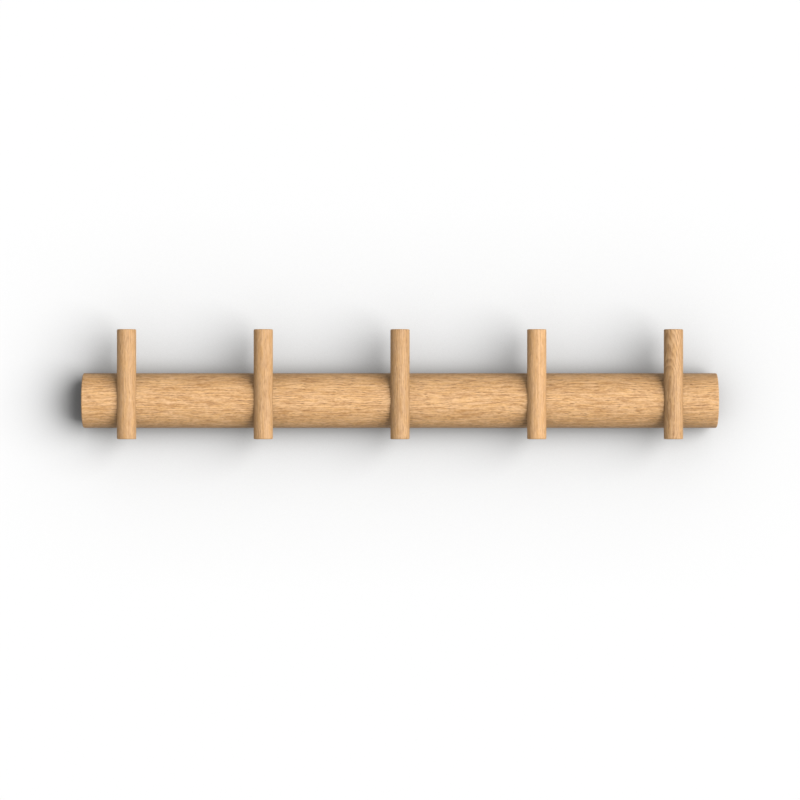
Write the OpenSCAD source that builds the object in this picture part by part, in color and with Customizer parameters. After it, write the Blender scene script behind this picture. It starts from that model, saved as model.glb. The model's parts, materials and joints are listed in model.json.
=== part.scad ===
// Wall hook rack. A round wooden rail, planed flat along its back, carries a row of upright round
// pegs. Each peg is slid down a round groove across the rail's front, whose lips close past the
// peg's middle, and is glued and held by one screw from behind. Two keyhole plates let into the
// back hang the rack on two wall screws.
//
// Frame, in millimetres: X runs along the rail and Z is up. The wall is the plane y = 0, with the
// rack on its -Y side, and the origin is the middle of the rail's flat back.

/* [Rail] */
// Diameter of the round rail
rail_d = 40; // [38:1:50]
// Length of the rail
rail_length = 463; // [450:1:600]
// Depth of the flat planed along the rail's back
flat_depth = 4; // [3.5:0.5:6]
// Radius of the eased edge round each end of the rail
rail_ease = 1; // [0.4:0.2:2]

/* [Pegs] */
// Diameter of a peg
peg_d = 14; // [13:0.5:16]
// Height of a peg above the top of the rail
peg_above = 31.75; // [20:0.25:50]
// Length of a peg below the underside of the rail
peg_below = 8; // [4:0.5:20]
// Distance between the axes of neighbouring pegs
peg_pitch = 99.25; // [92:0.25:106]
// Depth of the round groove across the rail's front that a peg is glued into
groove_depth = 9; // [8.25:0.25:10]
// Radius of the eased edge round each end of a peg
peg_ease = 0.8; // [0.2:0.2:1.6]

/* [Peg screws] */
// How deep a peg screw's point goes into its peg
peg_screw_bite = 9; // [8:0.5:10]
// Outer diameter of a peg screw's thread
peg_screw_d = 4; // [3.5:0.5:4.5]
// Diameter of the counterbore in the rail's back for a peg screw's head
counterbore_d = 9; // [8.5:0.5:11]
// Depth of that counterbore
counterbore_depth = 8; // [7:0.5:9]

/* [Keyhole plates] */
// Distance between the centres of the two keyhole plates
plate_pitch = 300; // [292:1:304]
// Length of a keyhole plate, along the rail
plate_length = 46; // [44:1:50]
// Height of a keyhole plate
plate_height = 18; // [17.5:0.5:20]
// Thickness of a keyhole plate
plate_t = 2; // [1.5:0.25:2.5]
// Diameter of the round entry that the wall screw's head goes through
entry_d = 9; // [8:0.5:9.5]
// Width of the slot that the wall screw's shank slides up into
slot_w = 4.6; // [4:0.2:5]
// Height that the shank slides from the entry to the end of the slot
slot_rise = 6.6; // [6:0.2:7]
// Depth behind the plate of the pocket for the wall screw's head
head_pocket_depth = 6; // [5:0.5:7]

/* [Hidden] */
$fn = 96;

peg_count = 5;
sides = [["left", -1], ["right", 1]];
places = [["outer", 1], ["inner", -1]];

oak = "#DDAE7A";
zinc = "#B9BCC0";
yellow_zinc = "#C9B27A";

rail_r = rail_d / 2;
rail_y = flat_depth - rail_r;                        // the rail's own axis, in front of the wall
peg_y = rail_y - rail_r + groove_depth - peg_d / 2;  // the pegs' axes, in front of the rail
peg_low = -rail_r - peg_below;
peg_length = 2 * rail_r + peg_above + peg_below;
peg_wood = rail_d - flat_depth - groove_depth;       // wood between the wall and a peg

glue_gap = 0.05;       // room for glue round a seated peg
fit_gap = 0.02;        // room round a screw in the wood that it has cut its own way into
plate_gap = 0.2;       // room round a keyhole plate in its recess
plate_sink = 0.2;      // how far a plate lies below the rail's flat back
plate_corner = 3;      // radius of a plate's corners
pocket_margin = 0.7;   // room round the wall screw's head, past the entry's radius
cut = 1;               // how far a cutter runs past the face that it cuts
ease_steps = 6;        // straight steps in a quarter turn of an eased edge

head_rim = 0.3;        // height of the straight rim round a screw's head
hole_gap = 0.1;        // room round a screw in a hole that it passes through

peg_screw_length = peg_wood - counterbore_depth + peg_screw_bite;
peg_screw_head_d = 7.6;
peg_screw_pitch = 1.8;
peg_screw_thread = 14; // thread and point, below the head and the plain shank

plate_screw_length = 12;
plate_screw_d = 3;
plate_screw_head_d = 5.8;
plate_screw_pitch = 1.35;
plate_screw_thread = 8.6;
plate_screw_offset = plate_length / 2 - 6;

plate_y = -plate_sink;                 // a plate's outer face
plate_screw_y = plate_y - 0.1;         // the top of a plate screw's head
entry_z = -slot_rise / 2 + 0.1;        // centre of a keyhole's round entry
slot_top_z = entry_z + slot_rise;      // where the wall screw's shank comes to rest

function peg_x(i) = (i - (peg_count + 1) / 2) * peg_pitch;
function plate_x(side) = side * plate_pitch / 2;
function plate_screw_x(side, place) = plate_x(side) + side * place * plate_screw_offset;

// A round bar standing on z = 0, with a quarter-round edge at each end.
module eased_bar(d, length, ease) {
    function arc(z, from) = [
        for (k = [0:ease_steps])
            let (a = from + 90 * k / ease_steps)
            [d / 2 - ease + ease * cos(a), z + ease * sin(a)]
    ];
    rotate_extrude()
        polygon(concat([[0, 0]], arc(ease, -90), arc(length - ease, 0), [[0, length]]));
}

// A countersunk wood screw, head up at z = 0 and point down: rings stand for the thread's turns.
// Grow makes it larger all round, to cut the hole that it leaves in wood.
module wood_screw(d, head_d, length, smooth, pitch, grow = 0) {
    core_r = 0.31 * d;
    shank_r = 0.375 * d;
    point = 1.2 * d;
    crest = 0.12 * pitch;
    cone = (head_d - 2 * shank_r) / 2;
    turns = floor((length - smooth - point) / pitch);
    thread_end = smooth + turns * pitch;
    function ring(z) = [
        [core_r + grow, z + 0.12 * pitch],
        [d / 2 + grow, z + (pitch - crest) / 2],
        [d / 2 + grow, z + (pitch + crest) / 2],
        [core_r + grow, z + 0.88 * pitch]
    ];
    outline = concat(
        [
            [0, 0],
            [head_d / 2 + grow, 0],
            [head_d / 2 + grow, head_rim],
            [shank_r + grow, head_rim + cone],
            [shank_r + grow, smooth - shank_r + core_r],
            [core_r + grow, smooth]
        ],
        [for (t = [0:turns - 1]) each ring(smooth + t * pitch)],
        [[core_r + grow, thread_end], [0, length + grow]]
    );
    mirror([0, 0, 1]) rotate_extrude() polygon(outline);
}

// The crossed recess in a screw's head, as a cutter from z = 0 down.
module cross_recess(width, depth) {
    wing = width / 4.2;
    for (turn = [0, 90])
        rotate([0, 0, turn])
            translate([-width / 2, -wing / 2, -depth]) cube([width, wing, depth + cut]);
    translate([0, 0, -depth]) cylinder(d1 = wing, d2 = 2 * wing, h = depth + cut);
}

// Turns a part that points down -Z so that it points away from the wall, along -Y.
module away_from_wall(x, y) {
    translate([x, y, 0]) rotate([-90, 0, 0]) children();
}

module peg_screw_body(grow = 0) {
    wood_screw(
        peg_screw_d, peg_screw_head_d, peg_screw_length,
        peg_screw_length - peg_screw_thread, peg_screw_pitch, grow
    );
}

module plate_screw_body(grow = 0) {
    wood_screw(
        plate_screw_d, plate_screw_head_d, plate_screw_length,
        plate_screw_length - plate_screw_thread, plate_screw_pitch, grow
    );
}

// A flat oblong with round corners, in the XY plane, centred.
module round_oblong(length, height, corner) {
    square([length - 2 * corner, height], center = true);
    square([length, height - 2 * corner], center = true);
    for (x = [-1, 1], y = [-1, 1])
        translate([x * (length / 2 - corner), y * (height / 2 - corner)]) circle(r = corner);
}

// An upright slot with round ends, from z low to z high on its end centres.
module upright_slot(width, low, high) {
    translate([-width / 2, low]) square([width, high - low]);
    for (z = [low, high]) translate([0, z]) circle(d = width);
}

// Raises a shape drawn on X and Z into a block from the wall side face y_from down to y_from - depth.
module into_rail(y_from, depth) {
    translate([0, y_from, 0]) rotate([90, 0, 0]) linear_extrude(depth) children();
}

// A screw's hole from the face y_from: a seat for its head, sunk a little, and a clearance hole.
module seated_hole(y_from, head_d, d, sunk, depth) {
    seat_r = head_d / 2 + hole_gap;
    shank_r = d / 2 + hole_gap;
    rim = sunk + head_rim;
    into_rail(y_from + cut, rim + cut) circle(r = seat_r);
    translate([0, y_from - rim, 0]) rotate([90, 0, 0])
        cylinder(r1 = seat_r, r2 = shank_r, h = seat_r - shank_r);
    into_rail(y_from + cut, depth + cut) circle(r = shank_r);
}

// The hole through the rail for one peg screw, at the bottom of its counterbore.
module peg_screw_hole() {
    into_rail(cut, counterbore_depth + cut) circle(d = counterbore_d);
    seated_hole(-counterbore_depth, peg_screw_head_d, peg_screw_d, 0, rail_d);
}

// The recess for one keyhole plate, and behind it the pocket for the wall screw's head.
module keyhole_recess() {
    into_rail(cut, plate_sink + plate_t + cut)
        round_oblong(plate_length + 2 * plate_gap, plate_height + 2 * plate_gap, plate_corner + plate_gap);
    into_rail(cut, plate_sink + plate_t + head_pocket_depth + cut)
        upright_slot(entry_d + 2 * pocket_margin, entry_z, slot_top_z);
}

module rail() {
    color(oak) difference() {
        translate([-rail_length / 2, rail_y, 0]) rotate([0, 90, 0])
            eased_bar(rail_d, rail_length, rail_ease);
        translate([-rail_length / 2 - cut, 0, -rail_d / 2 - cut])
            cube([rail_length + 2 * cut, flat_depth + cut, rail_d + 2 * cut]);
        for (end = [-1, 1])
            translate([end * rail_length / 2, 0, 0]) rotate([0, 0, 45])
                cube([rail_ease, rail_ease, rail_d], center = true);
        for (i = [1:peg_count]) translate([peg_x(i), 0, 0]) {
            translate([0, peg_y, -rail_d]) cylinder(r = peg_d / 2 + glue_gap, h = 2 * rail_d);
            peg_screw_hole();
        }
        for (s = sides) {
            translate([plate_x(s[1]), 0, 0]) keyhole_recess();
            for (p = places)
                away_from_wall(plate_screw_x(s[1], p[1]), plate_screw_y) plate_screw_body(fit_gap);
        }
    }
}

// One upright peg, with the thread that its screw has cut into it from behind.
module peg(i) {
    color(oak) difference() {
        translate([peg_x(i), peg_y, peg_low]) eased_bar(peg_d, peg_length, peg_ease);
        away_from_wall(peg_x(i), -counterbore_depth) peg_screw_body(fit_gap);
    }
}

module peg_screw(i) {
    color(yellow_zinc) away_from_wall(peg_x(i), -counterbore_depth) difference() {
        peg_screw_body();
        cross_recess(4.2, 2.2);
    }
}

module keyhole_plate(side) {
    color(zinc) translate([plate_x(side), 0, 0]) difference() {
        into_rail(plate_y, plate_t) round_oblong(plate_length, plate_height, plate_corner);
        into_rail(plate_y + cut, plate_t + 2 * cut) union() {
            translate([0, entry_z]) circle(d = entry_d);
            upright_slot(slot_w, entry_z, slot_top_z);
        }
        for (x = [-1, 1]) translate([x * plate_screw_offset, 0, 0])
            seated_hole(
                plate_y, plate_screw_head_d, plate_screw_d, plate_y - plate_screw_y, plate_t + cut
            );
    }
}

module plate_screw(side, place) {
    color(zinc) away_from_wall(plate_screw_x(side, place), plate_screw_y) difference() {
        plate_screw_body();
        cross_recess(3, 1.4);
    }
}

rail();
for (i = [1:peg_count]) {
    peg(i);
    peg_screw(i);
}
for (s = sides) {
    keyhole_plate(s[1]);
    for (p = places)
        plate_screw(s[1], p[1]);
}
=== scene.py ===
"""A wall hook rack in oak: one operator makes the rail, one the pegs, one each kind of fixing.

Metres throughout. X runs along the rail, Z is up and the wall is the plane y = 0, with the rack
on its -Y side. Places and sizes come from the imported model, and the properties hold the rest.
"""

import json
import math
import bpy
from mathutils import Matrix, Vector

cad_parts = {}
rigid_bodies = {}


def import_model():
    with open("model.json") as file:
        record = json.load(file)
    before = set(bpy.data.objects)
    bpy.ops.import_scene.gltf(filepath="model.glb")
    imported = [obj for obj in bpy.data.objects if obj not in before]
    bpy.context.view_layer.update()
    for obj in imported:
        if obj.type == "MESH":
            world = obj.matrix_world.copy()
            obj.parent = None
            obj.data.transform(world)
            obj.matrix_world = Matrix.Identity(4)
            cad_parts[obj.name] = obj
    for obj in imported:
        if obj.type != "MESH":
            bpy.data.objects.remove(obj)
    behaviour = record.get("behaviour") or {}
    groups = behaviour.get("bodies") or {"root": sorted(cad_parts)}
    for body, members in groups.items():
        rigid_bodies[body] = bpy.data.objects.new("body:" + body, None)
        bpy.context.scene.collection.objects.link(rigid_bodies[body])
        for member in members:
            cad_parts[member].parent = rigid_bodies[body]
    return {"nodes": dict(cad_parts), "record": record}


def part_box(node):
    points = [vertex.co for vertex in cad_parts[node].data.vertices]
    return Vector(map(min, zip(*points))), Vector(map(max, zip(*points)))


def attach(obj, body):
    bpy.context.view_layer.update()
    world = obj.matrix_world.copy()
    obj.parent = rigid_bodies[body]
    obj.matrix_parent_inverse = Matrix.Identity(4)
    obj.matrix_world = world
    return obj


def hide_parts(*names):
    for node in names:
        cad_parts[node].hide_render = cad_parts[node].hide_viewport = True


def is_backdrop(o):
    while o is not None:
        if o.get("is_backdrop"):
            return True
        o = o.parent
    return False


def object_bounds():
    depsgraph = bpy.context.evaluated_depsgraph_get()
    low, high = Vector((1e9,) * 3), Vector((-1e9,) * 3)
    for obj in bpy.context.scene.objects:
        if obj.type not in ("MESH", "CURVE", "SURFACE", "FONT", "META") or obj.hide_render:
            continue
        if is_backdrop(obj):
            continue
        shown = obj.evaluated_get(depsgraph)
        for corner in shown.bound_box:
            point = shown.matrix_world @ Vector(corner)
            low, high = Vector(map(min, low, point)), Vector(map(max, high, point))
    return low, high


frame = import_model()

from types import SimpleNamespace

import bpy
import numpy as np
from bpy.props import FloatProperty, FloatVectorProperty, PointerProperty

bl_info = {
    "name": "Wall Hook Rack",
    "version": (1, 0, 0),
    "blender": (4, 5, 0),
    "location": "View3D > Sidebar > Hook Rack",
    "description": "Makes an oak wall rail with upright round pegs, its fixings and a studio",
    "category": "Add Mesh",
}

BODY = "root"
MM = 0.001
CAD_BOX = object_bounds()

NODES = sorted(frame["nodes"])
PEG_SCREWS = [name for name in NODES if name.startswith("peg_screw_")]
PEGS = [name for name in NODES if name.startswith("peg_") and name not in PEG_SCREWS]
PLATES = [name for name in NODES if name.startswith("keyhole_plate_")]
PLATE_SCREWS = [name for name in NODES if name.startswith("plate_screw_")]
MOUNTS = {mount["name"]: mount for mount in frame["record"]["mounts"]}

HEAD_RIM = 0.3 * MM       # height of the straight rim round a screw's head
HOLE_GAP = 0.1 * MM       # room round a screw in a hole that it passes through
FIT_GAP = 0.02 * MM       # room round a screw in the wood that it has cut its own way into
POCKET_MARGIN = 0.7 * MM  # room round a wall screw's head, past the entry's radius
PLATE_DRIVER = 3.2 * MM   # width of the crossed recess in a plate screw
PEG_DRIVER = 4.2 * MM     # width of the crossed recess in a peg screw

WALL_GAP = 0.2 * MM       # from the rail's flat back to the wall
WALL_REACH = 12           # how far the wall and the floor run each way
WALL_TOP = 3
FLOOR = -1.6
FLOOR_GLOW = 0.4          # how much light the floor paint gives off
BACKDROP = 0.85           # how bright the world looks to the camera
FILL_TURN = math.radians(-50)
BACK_ANGLE = math.radians(24)

WALL_SIDE = (0.0, 1.0, 0.0)
ROOM_SIDE = (0.0, -1.0, 0.0)
UP = (0.0, 0.0, 1.0)


def box(node):
    """A node's low corner, high corner and middle, as arrays."""
    low, high = (np.array(corner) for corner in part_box(node))
    return SimpleNamespace(low=low, high=high, middle=(low + high) / 2, size=high - low)


# ---------------------------------------------------------------------------------------------
# Properties
# ---------------------------------------------------------------------------------------------


def length(name, description, default):
    """A property that holds a length in metres."""
    return FloatProperty(
        name=name, description=description, default=default, min=0, precision=5,
        unit="LENGTH", subtype="DISTANCE",
    )


def share(name, description, default, most=1.0):
    """A property that holds a number from 0 to 1, or to most."""
    return FloatProperty(name=name, description=description, default=default, min=0, max=most)


def tint(name, description, default):
    """A property that holds a linear colour."""
    return FloatVectorProperty(
        name=name, description=description, default=default, size=3, min=0, max=1, subtype="COLOR"
    )


class RackWood(bpy.types.PropertyGroup):
    """Sizes of the rail and the pegs that their boxes don't give."""

    flat: length("Flat", "Depth planed off the rail's back", 4 * MM)
    rail_ease: length("Rail ease", "Radius of the eased edge round each end of the rail", 1 * MM)
    peg_ease: length("Peg ease", "Radius of the eased edge round each end of a peg", 0.8 * MM)
    glue_gap: length("Glue gap", "Room for glue between a peg and its groove", 0.05 * MM)
    counterbore: length("Counterbore", "Width of the hole for a peg screw's head", 9 * MM)
    chamfer: length("Chamfer", "Broken edge round each hole in the rail's back", 0.3 * MM)


class RackFixings(bpy.types.PropertyGroup):
    """Sizes of the screws and the keyhole plates that their boxes don't give."""

    peg_thread: length("Peg screw thread", "Outer width of a peg screw's thread", 4 * MM)
    peg_pitch: length("Peg screw pitch", "Advance of that thread in one turn", 1.8 * MM)
    peg_smooth: length("Peg screw shank", "Head and plain shank above the thread", 14 * MM)
    plate_thread: length("Plate screw thread", "Outer width of a plate screw's thread", 3 * MM)
    plate_pitch: length("Plate screw pitch", "Advance of that thread in one turn", 1.35 * MM)
    plate_smooth: length("Plate screw shank", "Head and plain shank above the thread", 3.4 * MM)
    corner: length("Plate corner", "Radius of a keyhole plate's corners", 3 * MM)
    edge: length("Plate edge", "Broken edge round a keyhole plate and its holes", 0.15 * MM)
    recess_gap: length("Recess gap", "Room round a plate in its recess", 0.2 * MM)
    slot: length("Slot", "Width of the slot for a wall screw's shank", 4.6 * MM)
    pocket: length("Head pocket", "Depth behind a plate for a wall screw's head", 6 * MM)


class RackOak(bpy.types.PropertyGroup):
    """Colours and grain of the oak."""

    light: tint("Late wood", "Smooth dense wood between the rows of pores", (0.86, 0.53, 0.268))
    dark: tint("Early wood", "Open wood along the rows of pores", (0.52, 0.275, 0.112))
    pore: tint("Pores", "Inside of an open pore", (0.25, 0.115, 0.045))
    ray: tint("Rays", "Bright flecks that run from the pith outwards", (0.90, 0.58, 0.31))
    warm: tint("Warm streaks", "What the yellower streaks let through", (1.0, 0.96, 0.82))
    ring: length("Ring", "Width of one year's growth", 1.5 * MM)
    short: share("Short streaks", "Strength of the streaks a few millimetres long", 1.1, 3)
    middling: share("Middling streaks", "Strength of the streaks a centimetre long", 0.65, 3)
    long: share("Long streaks", "Strength of the streaks several centimetres long", 1.9, 3)
    relief: length("Relief", "Depth of the grain that can be felt", 0.15 * MM)
    roughness: share("Roughness", "Of the oiled surface", 0.6)


class RackStudio(bpy.types.PropertyGroup):
    """The wall, the lights and the camera."""

    wall: tint("Wall", "Matt paint", (0.86, 0.86, 0.86))
    distance: length("Distance", "From the camera to the rail's axis", 2.46)
    view_width: length("View width", "Width of the picture at the rail's axis", 0.585)
    camera_rise: length("Camera rise", "Height of the camera above the rail's axis", 0.4 * MM)
    ambient: FloatProperty(name="Ambient", description="Light from all round", default=0.24, min=0)
    key: FloatProperty(name="Key", description="Strength of the large soft lamp", default=3.8, min=0)
    key_angle: FloatProperty(
        name="Key angle", description="How wide the large lamp is, seen from the rack",
        default=math.radians(56), subtype="ANGLE",
    )
    key_turn: FloatProperty(
        name="Key turn", description="How far to the right the large lamp stands",
        default=math.radians(40), subtype="ANGLE",
    )
    key_height: FloatProperty(
        name="Key height", description="How far above the rack the large lamp stands",
        default=math.radians(4), subtype="ANGLE",
    )
    fill: FloatProperty(name="Fill", description="Strength of the weak lamp on the left", default=0.57, min=0)
    back: FloatProperty(name="Back", description="Strength of the lamp behind", default=3.2, min=0)


class HookRack(bpy.types.PropertyGroup):
    """Everything that a user would change."""

    wood: PointerProperty(type=RackWood)
    fixings: PointerProperty(type=RackFixings)
    oak: PointerProperty(type=RackOak)
    studio: PointerProperty(type=RackStudio)


# ---------------------------------------------------------------------------------------------
# Surfaces
# ---------------------------------------------------------------------------------------------


def turn(count):
    """Angles round a full turn, the last one short of the first."""
    return np.arange(count) * math.tau / count


def loft(rings, twist=False):
    """The closed skin over rings, an array of (row, place round the ring, xyz).

    Each ring joins the next by quads, or with twist by pairs of triangles split along the
    diagonal on which row and place both go up by one. Fans to their mean points close the first
    and last rings. The rings turn anticlockwise as seen from the last one's side, so that the
    faces point outwards. Returns the vertices, the faces and how many of the last are fans.
    """
    rows, around = rings.shape[:2]
    here = np.arange(rows * around).reshape(rows, around)
    there = np.roll(here, -1, axis=1)
    if twist:
        ahead = np.stack([here[:-1], there[:-1], there[1:]], axis=-1)
        behind = np.stack([here[:-1], there[1:], here[1:]], axis=-1)
        sides = np.concatenate([ahead.reshape(-1, 3), behind.reshape(-1, 3)])
    else:
        sides = np.stack([here[:-1], there[:-1], there[1:], here[1:]], axis=-1).reshape(-1, 4)
    pole = np.full(around, rows * around)
    first = np.stack([there[0], here[0], pole], axis=-1)
    last = np.stack([here[-1], there[-1], pole + 1], axis=-1)
    ends = rings[[0, -1]].mean(axis=1)
    points = np.concatenate([rings.reshape(-1, 3), ends])
    return points, sides.tolist() + first.tolist() + last.tolist(), 2 * around


def make(name, *skins, crease=30):
    """One object from closed skins, smooth but for creases sharper than that many degrees.

    The fans that close a skin are flat faces, so that no shading runs across them.
    """
    points, faces, flat = [], [], []
    for vertices, corners, fans in skins:
        start = sum(map(len, points))
        points.append(vertices)
        faces += [[start + corner for corner in face] for face in corners]
        flat += [False] * (len(corners) - fans) + [True] * fans
    mesh = bpy.data.meshes.new(name)
    mesh.from_pydata(np.concatenate(points), [], faces)
    mesh.polygons.foreach_set("use_smooth", ~np.array(flat))
    mesh.set_sharp_from_angle(angle=math.radians(crease))
    piece = bpy.data.objects.new(name, mesh)
    bpy.context.scene.collection.objects.link(piece)
    return piece


def cut(piece, *cutters, crease=30):
    """Takes the cutters' shapes out of a piece for good, one after the other, and deletes them."""
    for cutter in cutters:
        boolean = piece.modifiers.new(cutter.name, "BOOLEAN")
        boolean.operation = "DIFFERENCE"
        boolean.solver = "EXACT"
        boolean.object = cutter
    shaped = piece.evaluated_get(bpy.context.evaluated_depsgraph_get())
    whole, piece.data = piece.data, bpy.data.meshes.new_from_object(shaped)
    piece.modifiers.clear()
    piece.data.set_sharp_from_angle(angle=math.radians(crease))
    bpy.data.meshes.remove(whole)
    for cutter in cutters:
        mesh = cutter.data
        bpy.data.objects.remove(cutter)
        bpy.data.meshes.remove(mesh)
    piece.data.name = piece.name


def lathe(profile, origin, out, around=48):
    """Rings of a surface turned round an axis: profile has a row (radius, distance) a ring.

    The ring's point at angle t is origin + out * distance + radius * (side * cos t + up * sin t),
    where side, up and out are at right angles in that right-handed order. Distances go up.
    """
    radius, distance = np.array(profile, float).T[:, :, None, None]
    out = np.array(out)
    up = np.array(UP if not out[2] else ROOM_SIDE)
    side = np.cross(up, out)
    t = turn(around)[:, None]
    return np.array(origin) + distance * out + radius * (np.cos(t) * side + np.sin(t) * up)


def carry(outline, rows):
    """Rings of an outline in the wall's plane, carried from the wall towards the room.

    outline(grow) gives the (x, z) points of the outline moved outwards by grow, anticlockwise as
    seen from the room. Each row is (grow, y), and y goes down.
    """
    return np.array([np.insert(outline(grow), 1, y, axis=1) for grow, y in rows])


def ease(radius, steps):
    """A quarter circle from a flat end to a straight side, as arrays of inset and rise."""
    t = np.linspace(0, math.pi / 2, steps + 1)
    return radius * (1 - np.sin(t)), radius * (1 - np.cos(t))


def arcs(*parts, steps=16):
    """An outline of round stretches joined by straight lines, as (x, z) points.

    Each part is (x, z, radius, from, to): a centre, a radius and two angles in degrees.
    """
    def arc(x, z, radius, start, stop):
        t = np.radians(np.linspace(start, stop, steps + 1))
        return np.stack([x + radius * np.cos(t), z + radius * np.sin(t)], axis=1)
    return np.concatenate([arc(*part) for part in parts])


# ---------------------------------------------------------------------------------------------
# Outlines and profiles that pieces and the holes for them share
# ---------------------------------------------------------------------------------------------


def oblong(x, width, height, corner):
    """A rounded rectangle's outline, as a function of how far it is moved outwards."""
    across, rise = width / 2 - corner, height / 2 - corner
    return lambda grow: arcs(
        (x + across, -rise, corner + grow, -90, 0), (x + across, rise, corner + grow, 0, 90),
        (x - across, rise, corner + grow, 90, 180), (x - across, -rise, corner + grow, 180, 270),
    )


def keyhole(x, low, entry, high, slot):
    """A keyhole's outline: a round entry at height low that runs into an upright slot to high.

    The slot's sides leave the entry where its circle is as wide as the slot.
    """
    def outline(grow):
        leave = 90 - math.degrees(math.asin((slot + grow) / (entry + grow)))
        return arcs(
            (x, low, entry + grow, 180 - leave, 360 + leave), (x, high, slot + grow, 0, 180), steps=32
        )
    return outline


def screw_profile(screw):
    """A countersunk screw without its thread: rows of radius and depth below its head's top."""
    lip = 0.12 * MM
    cone = screw.head - screw.shank
    return [
        (screw.head - lip, 0), (screw.head, lip), (screw.head, HEAD_RIM),
        (screw.shank, HEAD_RIM + cone),
        (screw.shank, screw.smooth - 0.4 * MM), (screw.core, screw.smooth),
    ]


def screw_facts(node, width, pitch, smooth):
    """What a screw's shape needs: its box gives its head's radius, its length and its place."""
    place = box(node)
    return SimpleNamespace(
        origin=(place.middle[0], place.high[1], place.middle[2]), length=place.size[1],
        head=place.size[0] / 2, shank=0.375 * width, core=0.31 * width, crest=width / 2,
        pitch=pitch, smooth=smooth, point=1.2 * width,
    )


def peg_screw_facts(node, fixings):
    return screw_facts(node, fixings.peg_thread, fixings.peg_pitch, fixings.peg_smooth)


def plate_screw_facts(node, fixings):
    return screw_facts(node, fixings.plate_thread, fixings.plate_pitch, fixings.plate_smooth)


def screw_hole(screw):
    """A cutter for the hole that a screw has made in wood, a little wider all round."""
    head, crest = screw.head + FIT_GAP, screw.crest + FIT_GAP
    rows = [
        (head, -MM), (head, HEAD_RIM), (crest, HEAD_RIM + head - crest),
        (crest, screw.length - screw.point), (screw.core, screw.length + FIT_GAP),
    ]
    return make("hole", loft(lathe(rows, screw.origin, ROOM_SIDE, 32)))


# ---------------------------------------------------------------------------------------------
# The rail, the pegs and the fixings
# ---------------------------------------------------------------------------------------------


def bar(wood):
    """The rail's radius, its axis and how far its flat back lies from the axis."""
    rail = box("rail")
    radius = (rail.size[1] + wood.flat) / 2
    axis = rail.low[1] + radius
    return SimpleNamespace(
        low=rail.low[0], high=rail.high[0], radius=radius, axis=axis, back=rail.high[1] - axis
    )


def rail_rings(wood):
    """The rail's skin before its grooves and holes are cut, as rings round X.

    A ring is an arc of the bar's radius about its axis, from one edge of the flat round the front
    to the other edge, and a straight line up the flat. Over the eased end both are drawn in by
    the inset of a quarter circle.
    """
    rail = bar(wood)
    inset, rise = ease(wood.rail_ease, 8)
    middle = np.linspace(rail.low + wood.rail_ease, rail.high - wood.rail_ease, 40)[1:-1]
    stations = np.concatenate([rail.low + rise, middle, rail.high - rise[::-1]])[:, None]
    drawn = np.concatenate([inset, 0 * middle, inset[::-1]])[:, None]
    radius, back = rail.radius - drawn, rail.back - drawn
    edge = np.arccos(back / radius)
    a = edge + (math.tau - 2 * edge) * np.linspace(0, 1, 161)
    y, z = rail.axis + radius * np.cos(a), radius * np.sin(a)
    front = np.stack(np.broadcast_arrays(stations, y, z), axis=-1)
    z = np.sqrt(radius**2 - back**2) * np.linspace(-1, 1, 9)[1:-1]
    flat = np.stack(np.broadcast_arrays(stations, rail.axis + back, z), axis=-1)
    return np.concatenate([front, flat], axis=1)


def peg_groove(node, wood):
    """A cutter for the upright round groove in the rail's front that seats a peg."""
    peg, rail = box(node), box("rail")
    radius = peg.size[0] / 2 + wood.glue_gap
    rows = [(radius, rail.low[2] - MM), (radius, rail.high[2] + MM)]
    return make("groove", loft(lathe(rows, (*peg.middle[:2], 0), UP, 96)))


def peg_screw_bore(screw, wood):
    """A cutter for the hole in the rail for a peg screw: counterbore, sunk seat and clearance."""
    wide, deep = wood.counterbore / 2, screw.origin[1]
    through = box("rail").low[1]
    seat, shank = screw.head + HOLE_GAP, screw.crest + HOLE_GAP
    sunk = deep - HEAD_RIM
    rows = [
        (shank, through), (shank, sunk - seat + shank), (seat, sunk), (seat, deep),
        (wide, deep), (wide, -wood.chamfer), (wide + wood.chamfer + MM, MM),
    ]
    return make("bore", loft(lathe(rows, (screw.origin[0], 0, 0), WALL_SIDE, 64)))


def plate_recess(node, wood, fixings):
    """A cutter for the shallow recess that a keyhole plate is let into."""
    plate, gap = box(node), fixings.recess_gap
    outline = oblong(
        plate.middle[0], plate.size[0] + 2 * gap, plate.size[2] + 2 * gap, fixings.corner + gap
    )
    rows = [(wood.chamfer + MM, MM), (0, -wood.chamfer), (0, plate.low[1])]
    return make("recess", loft(carry(outline, rows)))


def head_pocket(node, fixings):
    """A cutter for the room behind a keyhole plate that a wall screw's head moves in."""
    x, floor = box(node).middle[0], box(node).low[1]
    low, high, entry = keyhole_heights()
    radius = entry + POCKET_MARGIN

    def outline(grow):
        return arcs((x, low, radius, 180, 360), (x, high, radius, 0, 180))

    return make("pocket", loft(carry(outline, [(0, floor / 2), (0, floor - fixings.pocket)])))


def rail_piece(rack):
    """The oak rail with the grooves for the pegs and the holes in its back."""
    wood, fixings = rack.wood, rack.fixings
    rail = make("oak_rail", loft(rail_rings(wood)))
    grooves = [peg_groove(node, wood) for node in PEGS]
    bores = [peg_screw_bore(peg_screw_facts(node, fixings), wood) for node in PEG_SCREWS]
    recesses = [plate_recess(node, wood, fixings) for node in PLATES]
    pockets = [head_pocket(node, fixings) for node in PLATES]
    screws = [plate_screw_facts(node, fixings) for node in PLATE_SCREWS]
    holes = [screw_hole(screw) for screw in screws]
    cut(rail, *grooves, *bores, *recesses, *pockets, *holes)
    return rail


def keyhole_heights():
    """Heights of a keyhole's round entry and of its slot's end, and the entry's radius."""
    entries = MOUNTS["keyhole_entries"]
    low, high = entries["pos_m"][2], MOUNTS["hang_point_left"]["pos_m"][2]
    return low, high, entries["dims"]["hole_r_mm"] * MM


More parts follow.
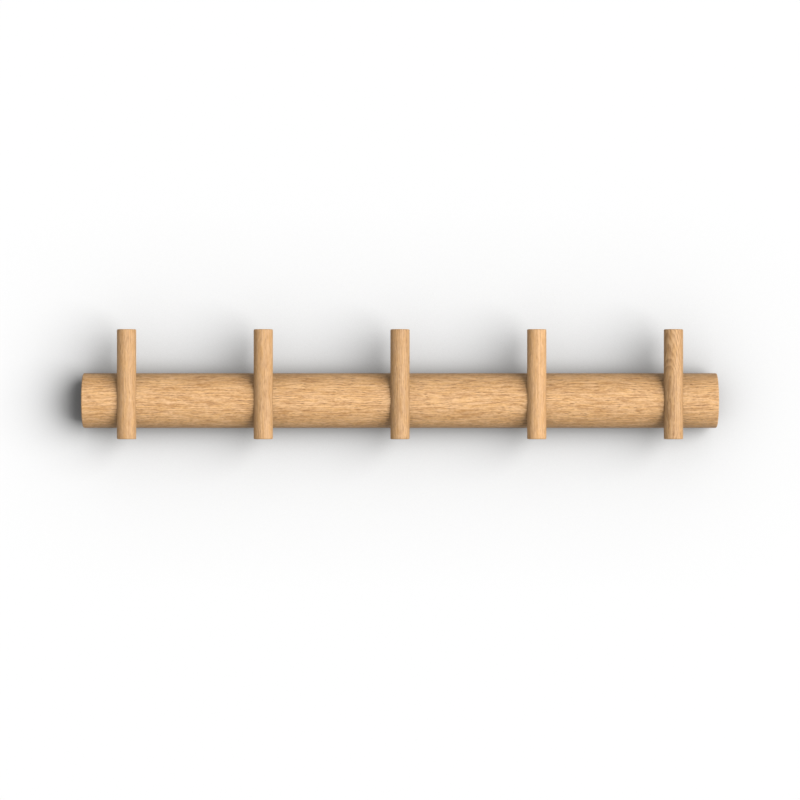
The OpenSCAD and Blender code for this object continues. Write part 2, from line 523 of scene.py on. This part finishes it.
def peg_piece(node, wood, screw):
    """A round peg with eased ends, and the blind hole that its screw has made."""
    peg = box(node)
    radius = peg.size[0] / 2
    inset, rise = ease(wood.peg_ease, 6)
    straight = np.linspace(rise[-1], peg.size[2] - rise[-1], 12)[1:-1]
    along = np.concatenate([rise, straight, peg.size[2] - rise[::-1]])
    drawn = np.concatenate([inset, 0 * straight, inset[::-1]])
    foot = (*peg.middle[:2], peg.low[2])
    piece = make("oak_" + node, loft(lathe(np.stack([radius - drawn, along], axis=1), foot, UP, 80)))
    cut(piece, screw_hole(screw))
    return piece


def screw_rings(screw, around=24):
    """A wood screw's skin from the top of its head to its point, as rings that go down.

    Below the smooth part the radius is core + (crest - core) * tooth, where the tooth is a
    triangle with a narrow flat top in the phase depth / pitch - angle / turn, so it follows a
    right-hand helix. It grows over the first half turn, and the whole shrinks to the point.
    """
    top = lathe(screw_profile(screw), screw.origin, ROOM_SIDE, around)
    depth = np.arange(screw.smooth, screw.length, screw.pitch / around)[1:, None]
    phase = (depth / screw.pitch - turn(around) / math.tau) % 1
    tooth = np.clip(1.25 - np.abs(2 * phase - 1) / 0.4, 0, 1)
    grown = np.clip((depth - screw.smooth) / (0.5 * screw.pitch), 0, 1)
    taper = np.clip((screw.length - depth) / screw.point, 0, 1)
    radius = (screw.core + (screw.crest - screw.core) * tooth * grown) * np.maximum(taper, 0.04)
    t = turn(around)
    x, y, z = screw.origin
    thread = np.stack(
        np.broadcast_arrays(x + radius * np.cos(t), y - depth, z + radius * np.sin(t)), axis=-1
    )
    return np.concatenate([top, thread])


def cross_recess(screw, width, depth, lean):
    """A cutter for the crossed recess in a screw's head: a plus that narrows on the way down."""
    def plus(wing, half):
        quarter = np.array([(wing, half), (half, half), (half, wing)])
        return np.concatenate([
            quarter @ np.array([[math.cos(a), math.sin(a)], [-math.sin(a), math.cos(a)]])
            for a in turn(4) + lean
        ])
    x, top, z = screw.origin
    rows = [(1.2, 1.1, -0.4), (1.0, 1.0, 0.0), (0.62, 0.72, 0.75), (0.2, 0.4, 1.0)]
    rings = np.array([
        np.insert(plus(width / 2 * wing, width / 9 * half) + (x, z), 1, top - depth * down, axis=1)
        for wing, half, down in rows
    ])
    return make("recess", loft(rings))


def screw_piece(node, screw, driver, lean):
    """A countersunk wood screw with a helical thread and a crossed recess."""
    piece = make("steel_" + node, loft(screw_rings(screw), twist=True))
    cut(piece, cross_recess(screw, driver, 0.5 * driver, lean))
    return piece


def plate_piece(node, fixings):
    """A keyhole plate with broken edges, its keyhole and two countersunk holes."""
    plate = box(node)
    edge = fixings.edge
    front, back = plate.high[1], plate.low[1]
    body = oblong(plate.middle[0], plate.size[0], plate.size[2], fixings.corner)
    rows = [(-edge, front), (0, front - edge), (0, back + edge), (-edge, back)]
    piece = make("steel_" + node, loft(carry(body, rows)))
    low, high, entry = keyhole_heights()
    hole = keyhole(plate.middle[0], low, entry, high, fixings.slot / 2)
    rows = [(edge + MM, front + MM), (0, front - edge), (0, back + edge), (edge + MM, back - MM)]
    cutters = [make("keyhole", loft(carry(hole, rows)))]
    for other in PLATE_SCREWS:
        screw = plate_screw_facts(other, fixings)
        if not plate.low[0] < screw.origin[0] < plate.high[0]:
            continue
        seat, shank = screw.head + HOLE_GAP, screw.crest + HOLE_GAP
        sunk = front - screw.origin[1] + HEAD_RIM
        rows = [(seat, -MM), (seat, sunk), (shank, sunk + seat - shank), (shank, front - back + MM)]
        origin = (screw.origin[0], front, screw.origin[2])
        cutters.append(make("sink", loft(lathe(rows, origin, ROOM_SIDE, 64))))
    cut(piece, *cutters)
    return piece


# ---------------------------------------------------------------------------------------------
# Shader maths
# ---------------------------------------------------------------------------------------------


class Wire:
    """A socket of a node tree that does arithmetic, each operation adding its Math node."""

    def __init__(self, paint, socket):
        self.paint, self.socket = paint, socket

    def math(self, operation, *values):
        return self.paint.node("ShaderNodeMath", {"operation": operation}, dict(enumerate(values)))

    def __add__(self, other):
        return self.math("ADD", self, other)

    def __sub__(self, other):
        return self.math("SUBTRACT", self, other)

    def __rsub__(self, other):
        return self.math("SUBTRACT", other, self)

    def __mul__(self, other):
        return self.math("MULTIPLY", self, other)

    def __truediv__(self, other):
        return self.math("DIVIDE", self, other)

    def __pow__(self, other):
        return self.math("POWER", self, other)

    __radd__, __rmul__ = __add__, __mul__


class Paint:
    """A material with a Principled shader, and the nodes that feed it."""

    def __init__(self, name, **constants):
        self.material = bpy.data.materials.new(name)
        self.material.use_nodes = True
        self.tree = self.material.node_tree
        self.shader = self.tree.nodes["Principled BSDF"]
        for socket, value in constants.items():
            self.shader.inputs[socket.replace("_", " ").title()].default_value = value

    def node(self, kind, settings=None, inputs=None, output=0):
        """Adds a node: its settings first, then its inputs, by name or number. Gives an output."""
        node = self.tree.nodes.new(kind)
        settings = dict(settings or {})
        stops = settings.pop("stops", ())
        for name, value in settings.items():
            setattr(node, name, value)
        for _ in stops[2:]:
            node.color_ramp.elements.new(1)
        for element, (place, colour) in zip(node.color_ramp.elements if stops else (), stops):
            element.position, element.color = place, (*colour, 1)
        for name, value in (inputs or {}).items():
            self.feed(node.inputs[name], value)
        return Wire(self, node.outputs[output])

    def feed(self, socket, value):
        """Links a wire to a socket, or sets the socket's own value."""
        if isinstance(value, Wire):
            self.tree.links.new(value.socket, socket)
        elif socket.type == "RGBA":
            socket.default_value = (*value, 1)
        else:
            socket.default_value = value

    def finish(self, **wires):
        """Feeds the shader's sockets, and gives the material."""
        for name, wire in wires.items():
            self.feed(self.shader.inputs[name.replace("_", " ").title()], wire)
        return self.material

    def vector(self, x, y, z):
        return self.node("ShaderNodeCombineXYZ", {}, {0: x, 1: y, 2: z})

    def parts(self, vector):
        """The three numbers of a vector or a colour."""
        split = self.node("ShaderNodeSeparateXYZ", {}, {0: vector}).socket.node
        return [Wire(self, output) for output in split.outputs]

    def noise(self, vector, scale=1, detail=2, roughness=0.5, output="Fac"):
        inputs = {"Vector": vector, "Scale": scale, "Detail": detail, "Roughness": roughness}
        return self.node("ShaderNodeTexNoise", {}, inputs, output)

    def smooth(self, value, start, stop):
        """0 up to start, 1 from stop on, and an S between them; start may be the larger."""
        inputs = {"Value": value, "From Min": start, "From Max": stop}
        return self.node("ShaderNodeMapRange", {"interpolation_type": "SMOOTHSTEP"}, inputs)

    def mix(self, factor, a, b, blend="MIX"):
        """Colour a turned into colour b by factor."""
        settings = {"data_type": "RGBA", "blend_type": blend}
        return self.node("ShaderNodeMix", settings, {0: factor, 6: a, 7: b}, 2)

    def bump(self, height, distance, strength=1.0, normal=None):
        inputs = {"Height": height, "Distance": distance, "Strength": strength}
        if normal:
            inputs["Normal"] = normal
        return self.node("ShaderNodeBump", {}, inputs)


def dress(piece, node, material):
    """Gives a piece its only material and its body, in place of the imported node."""
    piece.data.materials.clear()
    piece.data.materials.append(material)
    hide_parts(node)
    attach(piece, BODY)


def oak(name, look, stick):
    """Oiled oak, as a pattern in the solid wood that every face cuts through.

    u runs along the grain, v and w across it, in millimetres from the stick's middle. The
    distance from the pith, which lies at stick.pith in v and w and wanders a little along u,
    counts the years. In each year's growth the open early wood comes first, dark with rows of
    long pores, and fades into late wood. Streaks of three lengths run along the grain, and rays
    are thin sheets from the pith outwards. Where the grain leans, in the upper half of a stick,
    the pith drifts in w by stick.lean for each millimetre along u, so the years cut the surface
    in nested arches.
    """
    paint = Paint(name)
    place = paint.node("ShaderNodeTexCoord", {}, {}, "Object")
    shift = [-value / MM for value in stick.middle]
    here = paint.node(
        "ShaderNodeMapping", {}, {"Vector": place, "Location": shift, "Scale": (1 / MM,) * 3}
    )
    x, y, z = paint.parts(here)
    along, v, w = (x, y, z) if stick.grain == "X" else (z, x, y)
    u = along + 300 * stick.seed

    wander = paint.parts(paint.noise(paint.vector(u / 45, v / 20, w / 20), output="Color"))
    waver = paint.parts(paint.noise(paint.vector(u / 9, v / 4, w / 4), output="Color"))
    v = v + 5 * (wander[0] - 0.5) + 1.5 * (waver[0] - 0.5)
    w = w + 5 * (wander[1] - 0.5) + 1.5 * (waver[1] - 0.5)
    from_pith_v = v - stick.pith[0]
    from_pith_w = w - stick.pith[1] - stick.lean * (along - 8) * paint.smooth(along, 2, 18)
    across = paint.vector(0, from_pith_v, from_pith_w)
    distance = paint.node("ShaderNodeVectorMath", {"operation": "LENGTH"}, {0: across}, "Value")
    years = distance / (look.ring / MM) + 0.9 * paint.noise(paint.vector(distance / 7, stick.seed, 0))
    phase = years.math("FRACT", years)
    early = paint.smooth(phase, 0.0, 0.12) * paint.smooth(phase, 0.8, 0.2)

    short = paint.noise(paint.vector(u / 2.6, v / 0.9, w / 0.9), detail=2, roughness=0.6) - 0.5
    middling = paint.noise(paint.vector(u / 7, v / 1.6, w / 1.6), detail=3, roughness=0.6) - 0.5
    long = paint.noise(paint.vector(u / 24, v / 0.75, w / 0.75), detail=2, roughness=0.5) - 0.5
    broad = paint.noise(paint.vector(u / 60, v / 6, w / 6)) - 0.5
    cell = paint.vector(u / 8, v / 0.75, w / 0.75)
    to_pore = paint.node("ShaderNodeTexVoronoi", {}, {"Vector": cell, "Scale": 1.0}, "Distance")
    pore = paint.smooth(to_pore, 0.14 + 0.2 * early, 0.04 + 0.14 * early)
    angle = from_pith_w.math("ARCTAN2", from_pith_w, from_pith_v)
    sheets = paint.vector(angle * (math.hypot(*stick.pith) / 0.6), u / 5, distance / 14)
    ray = paint.smooth(paint.noise(sheets, detail=1), 0.64, 0.74)

    streaks = look.short * short + look.middling * middling + look.long * long + 0.5 * broad
    tone = 0.5 + stick.figure * streaks + stick.rings * (early - 0.4)
    colour = paint.mix(paint.smooth(tone, 0.0, 1.0), look.light, look.dark)
    yellow = paint.noise(paint.vector(u / 10, v / 1.3, w / 1.3), detail=2)
    colour = paint.mix(paint.smooth(yellow, 0.35, 0.7), colour, look.warm, "MULTIPLY")
    colour = paint.mix(0.3 * ray, colour, look.ray)
    colour = paint.mix(0.7 * stick.figure * pore, colour, look.pore)
    colour = paint.mix(1.0, colour, (stick.shade,) * 3, "MULTIPLY")
    height = 0 - look.short * short - look.middling * middling - look.long * long - 0.7 * pore
    return paint.finish(
        base_color=colour, roughness=look.roughness - 0.1 * ray + 0.15 * pore,
        normal=paint.bump(height, look.relief, 1.0),
    )


def zinc(name, colour, warm, seed):
    """Zinc plate on steel: a fine crystal mottle, faint scratches and a warmer bloom in places."""
    paint = Paint(name, metallic=0.5)
    place = paint.node("ShaderNodeTexCoord", {}, {}, "Object")
    inputs = {"Vector": place, "Location": (seed, 0, 0), "Scale": (1 / MM,) * 3}
    shifted = paint.node("ShaderNodeMapping", {}, inputs)
    crystal = paint.node("ShaderNodeTexVoronoi", {}, {"Vector": shifted, "Scale": 1.4}, "Color")
    grey = paint.parts(crystal)[0]
    bloom = paint.noise(shifted, 0.16, 3)
    x, y, z = paint.parts(shifted)
    scratch = paint.noise(paint.vector(x / 9, y / 0.3, z / 0.12), detail=3)
    base = paint.mix(paint.smooth(bloom, 0.4, 0.75), colour, warm)
    base = paint.mix(0.25 * grey, base, [value * 0.72 for value in colour])
    return paint.finish(
        base_color=base, roughness=0.3 + 0.16 * grey + 0.14 * bloom,
        normal=paint.bump(scratch + 0.5 * grey, 0.02 * MM, 0.5),
    )


# ---------------------------------------------------------------------------------------------
# Operators
# ---------------------------------------------------------------------------------------------


def matt_paint_with_painted_shade(name, colour, glow=0.0):
    """Matt paint, clear from behind, and darker where something stands close in front of it.

    Near is 0 where everything within reach is covered and 1 in the open. The darkening is painted
    shade: the paint keeps a share of its light under cover, and the rest grows with a power of
    near. Under cover the colour also turns to a warm dark brown, a painted stand-in for the light
    that the oak throws back onto the wall.
    """
    reach, kept, power = 0.12, 0.22, 0.8
    paint = Paint(name, roughness=0.9, emission_color=(1, 1, 1, 1), emission_strength=glow)
    inputs = {"Color": colour, "Distance": reach}
    near = paint.node("ShaderNodeAmbientOcclusion", {"samples": 8}, inputs, "AO")
    shade = kept + (1 - kept) * near ** power
    # Painted shade: under cover the colour fades to a warm dark brown, painted bounce light from the oak.
    paint.finish(base_color=paint.mix(shade, (0.07, 0.035, 0), colour))
    behind = paint.node("ShaderNodeNewGeometry", {}, {}, "Backfacing")
    clear = paint.node("ShaderNodeBsdfTransparent")
    painted = Wire(paint, paint.shader.outputs[0])
    sided = paint.node("ShaderNodeMixShader", {}, {0: behind, 1: painted, 2: clear})
    paint.feed(paint.tree.nodes["Material Output"].inputs["Surface"], sided)
    return paint.material


def sheet(name, corners, material):
    """A flat part of the stage."""
    mesh = bpy.data.meshes.new(name)
    mesh.from_pydata(corners, [], [range(len(corners))])
    mesh.materials.append(material)
    piece = bpy.data.objects.new(name, mesh)
    bpy.context.scene.collection.objects.link(piece)
    piece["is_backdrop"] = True
    return piece


def lamp(name, strength, angle, azimuth, height):
    """A soft round source far away, seen from the rack as wide as angle.

    Its azimuth is 0 straight in front of the wall, and grows to the right.
    """
    data = bpy.data.lights.new(name, "SUN")
    data.energy, data.angle = strength, angle
    piece = bpy.data.objects.new(name, data)
    piece.rotation_euler = (math.pi / 2 - height, 0, azimuth)
    bpy.context.scene.collection.objects.link(piece)
    return piece


class HOOKRACK_OT_rail(bpy.types.Operator):
    """Make the oak rail with the grooves for the pegs and the holes in its back"""

    bl_idname = "hookrack.rail"
    bl_label = "Rail"

    def execute(self, context):
        rack = context.scene.hook_rack
        stick = SimpleNamespace(
            middle=box("rail").middle, grain="X", pith=(-34, 52), lean=0, seed=1,
            figure=1.0, rings=0.15, shade=0.92,
        )
        dress(rail_piece(rack), "rail", oak("oiled oak rail", rack.oak, stick))
        return {"FINISHED"}


class HOOKRACK_OT_pegs(bpy.types.Operator):
    """Make the upright pegs, each from its own stick of oak"""

    bl_idname = "hookrack.pegs"
    bl_label = "Pegs"

    def execute(self, context):
        rack = context.scene.hook_rack
        sticks = [
            dict(pith=(38, 25), lean=0, figure=0.42, rings=0.1, shade=0.82),
            dict(pith=(-30, 44), lean=0, figure=0.42, rings=0.1, shade=0.82),
            dict(pith=(52, -12), lean=0, figure=0.5, rings=0.15, shade=0.78),
            dict(pith=(-20, -48), lean=0, figure=0.42, rings=0.1, shade=0.915),
            dict(pith=(24, 34), lean=-0.26, figure=0.6, rings=0.36, shade=0.785),
        ]
        for number, (node, screw, stick) in enumerate(zip(PEGS, PEG_SCREWS, sticks), 2):
            piece = peg_piece(node, rack.wood, peg_screw_facts(screw, rack.fixings))
            stick = SimpleNamespace(middle=box(node).middle, grain="Z", seed=number, **stick)
            dress(piece, node, oak("oiled oak " + node, rack.oak, stick))
        return {"FINISHED"}


class HOOKRACK_OT_screws(bpy.types.Operator):
    """Make the screws that hold the pegs and the keyhole plates"""

    bl_idname = "hookrack.screws"
    bl_label = "Screws"

    def execute(self, context):
        fixings = context.scene.hook_rack.fixings
        yellow = zinc("yellow zinc", (0.62, 0.46, 0.20), (0.50, 0.42, 0.30), 0.1)
        bright = zinc("bright zinc screw", (0.60, 0.62, 0.65), (0.52, 0.50, 0.47), 0.2)
        leans = np.linspace(0.1, 1.3, len(PEG_SCREWS))
        for node, lean in zip(PEG_SCREWS, leans):
            dress(screw_piece(node, peg_screw_facts(node, fixings), PEG_DRIVER, lean), node, yellow)
        for node, lean in zip(PLATE_SCREWS, leans):
            screw = plate_screw_facts(node, fixings)
            dress(screw_piece(node, screw, PLATE_DRIVER, lean), node, bright)
        return {"FINISHED"}


class HOOKRACK_OT_plates(bpy.types.Operator):
    """Make the keyhole plates"""

    bl_idname = "hookrack.plates"
    bl_label = "Keyhole plates"

    def execute(self, context):
        fixings = context.scene.hook_rack.fixings
        material = zinc("bright zinc plate", (0.56, 0.58, 0.61), (0.50, 0.48, 0.44), 0.3)
        for node in PLATES:
            dress(plate_piece(node, fixings), node, material)
        return {"FINISHED"}


class HOOKRACK_OT_studio(bpy.types.Operator):
    """Make the wall, the floor, the lights and the camera"""

    bl_idname = "hookrack.studio"
    bl_label = "Studio"

    def execute(self, context):
        studio = context.scene.hook_rack.studio
        scene = context.scene
        scene.view_settings.view_transform = "Standard"

        back, far = box("rail").high[1] + WALL_GAP, WALL_REACH
        upright = [(-far, back, FLOOR), (far, back, FLOOR), (far, back, WALL_TOP), (-far, back, WALL_TOP)]
        # The wall and the floor have shade painted into their colour where something stands close.
        sheet("wall", upright, matt_paint_with_painted_shade("wall paint", studio.wall))
        level = [(-far, -far, FLOOR), (far, -far, FLOOR), (far, far, FLOOR), (-far, far, FLOOR)]
        ground = sheet("floor", level, matt_paint_with_painted_shade("floor paint", studio.wall, FLOOR_GLOW))
        ground.visible_shadow = ground.visible_diffuse = ground.visible_glossy = False

        world = bpy.data.worlds.new("studio")
        world.use_nodes = True
        nodes, links = world.node_tree.nodes, world.node_tree.links
        seen, strength = nodes.new("ShaderNodeLightPath"), nodes.new("ShaderNodeMix")
        strength.inputs["A"].default_value, strength.inputs["B"].default_value = studio.ambient, BACKDROP
        links.new(seen.outputs["Is Camera Ray"], strength.inputs["Factor"])
        links.new(strength.outputs["Result"], nodes["Background"].inputs["Strength"])
        nodes["Background"].inputs["Color"].default_value = (1, 1, 1, 1)
        scene.world = world
        scene.cycles.diffuse_bounces = 0
        lamp("key", studio.key, studio.key_angle, studio.key_turn, studio.key_height)
        fill = lamp("fill", studio.fill, studio.key_angle, FILL_TURN, 0)
        behind = lamp("back", studio.back, BACK_ANGLE, math.pi, 0)
        behind.visible_glossy = False

        # The fill lights only the rack, and only the rack stands in the way of the back lamp.
        rack = bpy.data.collections.new("rack")
        for piece in scene.objects:
            if piece.type == "MESH" and piece.name.startswith(("oak_", "steel_")):
                rack.objects.link(piece)
        fill.light_linking.receiver_collection = rack
        behind.light_linking.blocker_collection = rack

        data = bpy.data.cameras.new("camera")
        camera = bpy.data.objects.new("camera", data)
        scene.collection.objects.link(camera)
        axis = bar(scene.hook_rack.wood).axis
        camera.location = (0, axis - studio.distance, studio.camera_rise)
        camera.rotation_euler = (math.pi / 2, 0, 0)
        data.lens = data.sensor_width * studio.distance / studio.view_width
        data.clip_start, data.clip_end = 0.05, 50
        scene.camera = camera
        return {"FINISHED"}


class HOOKRACK_PT_parts(bpy.types.Panel):
    """The rack's operators and the values that they use"""

    bl_idname = "HOOKRACK_PT_parts"
    bl_label = "Wall hook rack"
    bl_space_type = "VIEW_3D"
    bl_region_type = "UI"
    bl_category = "Hook Rack"

    def draw(self, context):
        for operator in OPERATORS:
            self.layout.operator(operator.bl_idname)
        rack = context.scene.hook_rack
        for group in (rack.wood, rack.fixings, rack.oak, rack.studio):
            column = self.layout.box().column(align=True)
            for name in type(group).__annotations__:
                column.prop(group, name)


GROUPS = (RackWood, RackFixings, RackOak, RackStudio, HookRack)
OPERATORS = (
    HOOKRACK_OT_rail, HOOKRACK_OT_pegs, HOOKRACK_OT_screws, HOOKRACK_OT_plates, HOOKRACK_OT_studio,
)


def register():
    for item in (*GROUPS, *OPERATORS, HOOKRACK_PT_parts):
        bpy.utils.register_class(item)
    bpy.types.Scene.hook_rack = PointerProperty(type=HookRack)


def unregister():
    del bpy.types.Scene.hook_rack
    for item in reversed((*GROUPS, *OPERATORS, HOOKRACK_PT_parts)):
        bpy.utils.unregister_class(item)


def main():
    register()
    bpy.ops.hookrack.rail()
    bpy.ops.hookrack.pegs()
    bpy.ops.hookrack.screws()
    bpy.ops.hookrack.plates()
    bpy.ops.hookrack.studio()
    boxes = {"cad": CAD_BOX, "visual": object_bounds()}
    {name: [list(corner) for corner in corners] for name, corners in boxes.items()}


if __name__ == "__main__":
    main()
